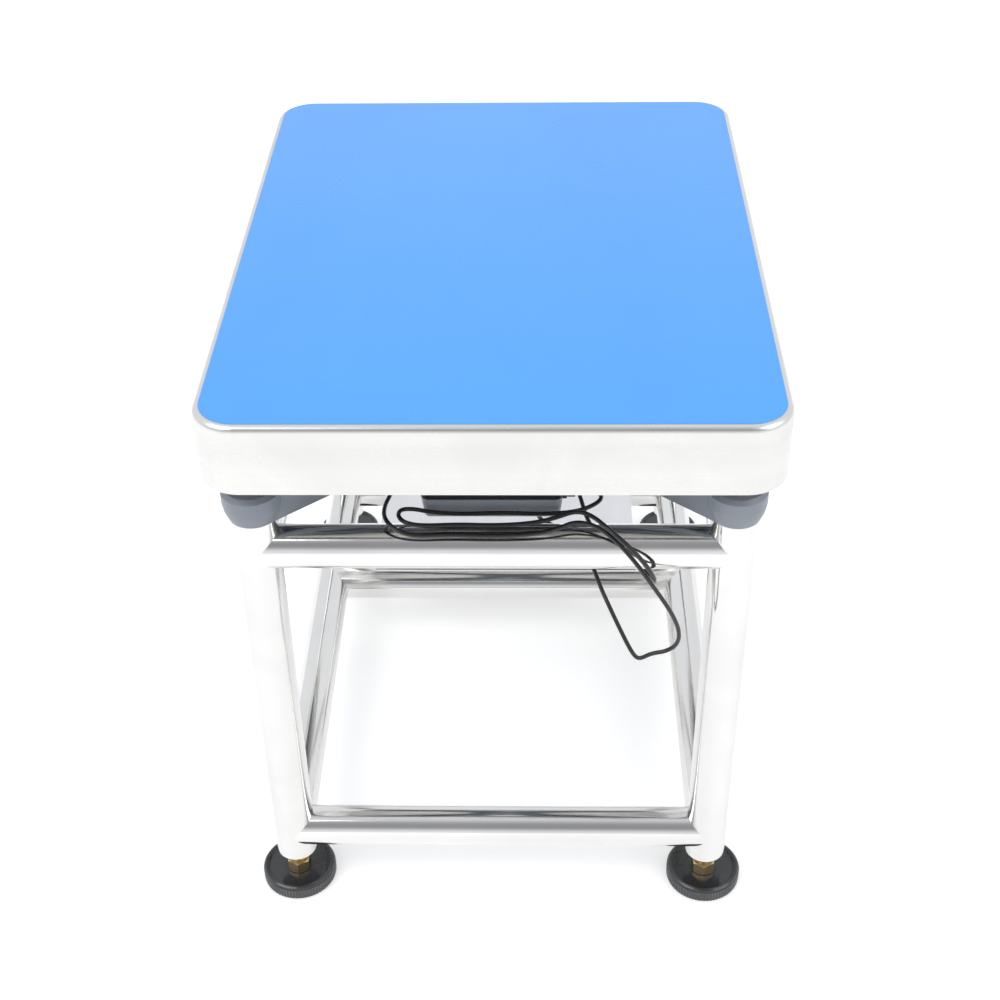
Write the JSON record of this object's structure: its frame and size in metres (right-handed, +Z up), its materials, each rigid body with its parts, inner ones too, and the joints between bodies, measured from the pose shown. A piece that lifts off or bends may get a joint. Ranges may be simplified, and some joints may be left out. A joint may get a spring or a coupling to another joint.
{
  "type": "poultry platform scale",
  "caption": "Stainless weighing platter on a cast spider, load cell and four-legged round-tube stand with screw-adjustable fluted feet.",
  "frame": {"origin": "on the floor under the middle of the platter", "axes": "+Z up, +Y from the front to the back along the platter's long side, +X to the right seen from the front"},
  "size_m": [0.4, 0.52, 0.4732],
  "materials": {
    "polished_steel": "polished stainless tube",
    "satin_steel": "satin stainless sheet",
    "sheet_steel": "bright stainless sheet",
    "blue_film": "glossy protective film",
    "grey_casting": "blue-grey powder coat on cast aluminium",
    "grey_moulding": "blue-grey moulded plastic",
    "black_moulding": "black moulded plastic",
    "cable_jacket": "black jacket",
    "rubber_pad": "rubber",
    "aluminium": "machined and anodised",
    "zinc_yellow": "yellow passivated zinc",
    "screw_steel": "zinc plated"
  },
  "bodies": {
    "stand": {"bottom_rail_front": "polished_steel", "bottom_rail_left": "polished_steel", "bottom_rail_rear": "polished_steel", "bottom_rail_right": "polished_steel", "box_bracket": "sheet_steel", "bracket_screws": "screw_steel", "cross_rail": "polished_steel", "gland_floor": "black_moulding", "gland_rear": "black_moulding", "gland_right": "black_moulding", "gland_spider": "black_moulding", "junction_box_base": "grey_moulding", "junction_box_lid": "black_moulding", "junction_box_seal": "black_moulding", "leg_front_left": "polished_steel", "leg_front_right": "polished_steel", "leg_inserts": "screw_steel", "leg_rear_left": "polished_steel", "leg_rear_right": "polished_steel", "leg_top_plugs": "screw_steel", "leg_top_screws": "screw_steel", "load_cell": "aluminium", "load_cell_cable": "cable_jacket", "lower_cell_bolts": "screw_steel", "lower_spacer": "aluminium", "lower_spider": "grey_casting", "overload_stops": "screw_steel", "shelf": "sheet_steel", "signal_cable": "cable_jacket", "top_rail_front": "polished_steel", "top_rail_left": "polished_steel", "top_rail_rear": "polished_steel", "top_rail_right": "polished_steel"},
    "weighing_frame": {"upper_spacer": "aluminium", "upper_spider": "grey_casting", "upper_cell_bolts": "screw_steel", "platter_pads": "rubber_pad"},
    "platter": {"platter_pan": "satin_steel", "platter_film": "blue_film"},
    "foot_screw_front_left": {"foot_stud_front_left": "zinc_yellow"},
    "foot_front_left": {"foot_disc_front_left": "black_moulding"},
    "lock_front_left": {"jam_nut_front_left": "zinc_yellow"},
    "foot_screw_front_right": {"foot_stud_front_right": "zinc_yellow"},
    "foot_front_right": {"foot_disc_front_right": "black_moulding"},
    "lock_front_right": {"jam_nut_front_right": "zinc_yellow"},
    "foot_screw_rear_left": {"foot_stud_rear_left": "zinc_yellow"},
    "foot_rear_left": {"foot_disc_rear_left": "black_moulding"},
    "lock_rear_left": {"jam_nut_rear_left": "zinc_yellow"},
    "foot_screw_rear_right": {"foot_stud_rear_right": "zinc_yellow"},
    "foot_rear_right": {"foot_disc_rear_right": "black_moulding"},
    "lock_rear_right": {"jam_nut_rear_right": "zinc_yellow"}
  },
  "joints": [
    {"name": "load_deflection", "type": "slide", "parent": "stand", "child": "weighing_frame", "axis": [0, 0, -1], "range_m": [0, 0.0006], "stiffness_N_per_m": 50000, "springref_m": -0.0009, "deforming": ["load_cell"]},
    {"name": "platter_lift", "type": "slide", "parent": "weighing_frame", "child": "platter", "axis": [0, 0, 1], "range_m": [0, 0.06]},
    {"name": "foot_height_front_left", "type": "slide", "parent": "stand", "child": "foot_screw_front_left", "axis": [0, 0, -1], "range_m": [0, 0.018]},
    {"name": "foot_turn_front_left", "type": "hinge", "parent": "foot_screw_front_left", "child": "foot_front_left", "pos_m": [-0.168, -0.228, 0.01], "axis": [0, 0, -1], "range_deg": [0, 4320]},
    {"name": "lock_nut_travel_front_left", "type": "slide", "parent": "foot_screw_front_left", "child": "lock_front_left", "axis": [0, 0, 1], "range_m": [0, 0.0135]},
    {"name": "foot_height_front_right", "type": "slide", "parent": "stand", "child": "foot_screw_front_right", "axis": [0, 0, -1], "range_m": [0, 0.018]},
    {"name": "foot_turn_front_right", "type": "hinge", "parent": "foot_screw_front_right", "child": "foot_front_right", "pos_m": [0.168, -0.228, 0.01], "axis": [0, 0, -1], "range_deg": [0, 4320]},
    {"name": "lock_nut_travel_front_right", "type": "slide", "parent": "foot_screw_front_right", "child": "lock_front_right", "axis": [0, 0, 1], "range_m": [0, 0.0135]},
    {"name": "foot_height_rear_left", "type": "slide", "parent": "stand", "child": "foot_screw_rear_left", "axis": [0, 0, -1], "range_m": [0, 0.018]},
    {"name": "foot_turn_rear_left", "type": "hinge", "parent": "foot_screw_rear_left", "child": "foot_rear_left", "pos_m": [-0.168, 0.228, 0.01], "axis": [0, 0, -1], "range_deg": [0, 4320]},
    {"name": "lock_nut_travel_rear_left", "type": "slide", "parent": "foot_screw_rear_left", "child": "lock_rear_left", "axis": [0, 0, 1], "range_m": [0, 0.0135]},
    {"name": "foot_height_rear_right", "type": "slide", "parent": "stand", "child": "foot_screw_rear_right", "axis": [0, 0, -1], "range_m": [0, 0.018]},
    {"name": "foot_turn_rear_right", "type": "hinge", "parent": "foot_screw_rear_right", "child": "foot_rear_right", "pos_m": [0.168, 0.228, 0.01], "axis": [0, 0, -1], "range_deg": [0, 4320]},
    {"name": "lock_nut_travel_rear_right", "type": "slide", "parent": "foot_screw_rear_right", "child": "lock_rear_right", "axis": [0, 0, 1], "range_m": [0, 0.0135]}
  ],
  "couplings": [
    {"joint": "foot_height_front_left", "follows": "foot_turn_front_left", "m_per_rad": 0.00023873},
    {"joint": "foot_height_front_right", "follows": "foot_turn_front_right", "m_per_rad": 0.00023873},
    {"joint": "foot_height_rear_left", "follows": "foot_turn_rear_left", "m_per_rad": 0.00023873},
    {"joint": "foot_height_rear_right", "follows": "foot_turn_rear_right", "m_per_rad": 0.00023873}
  ]
}
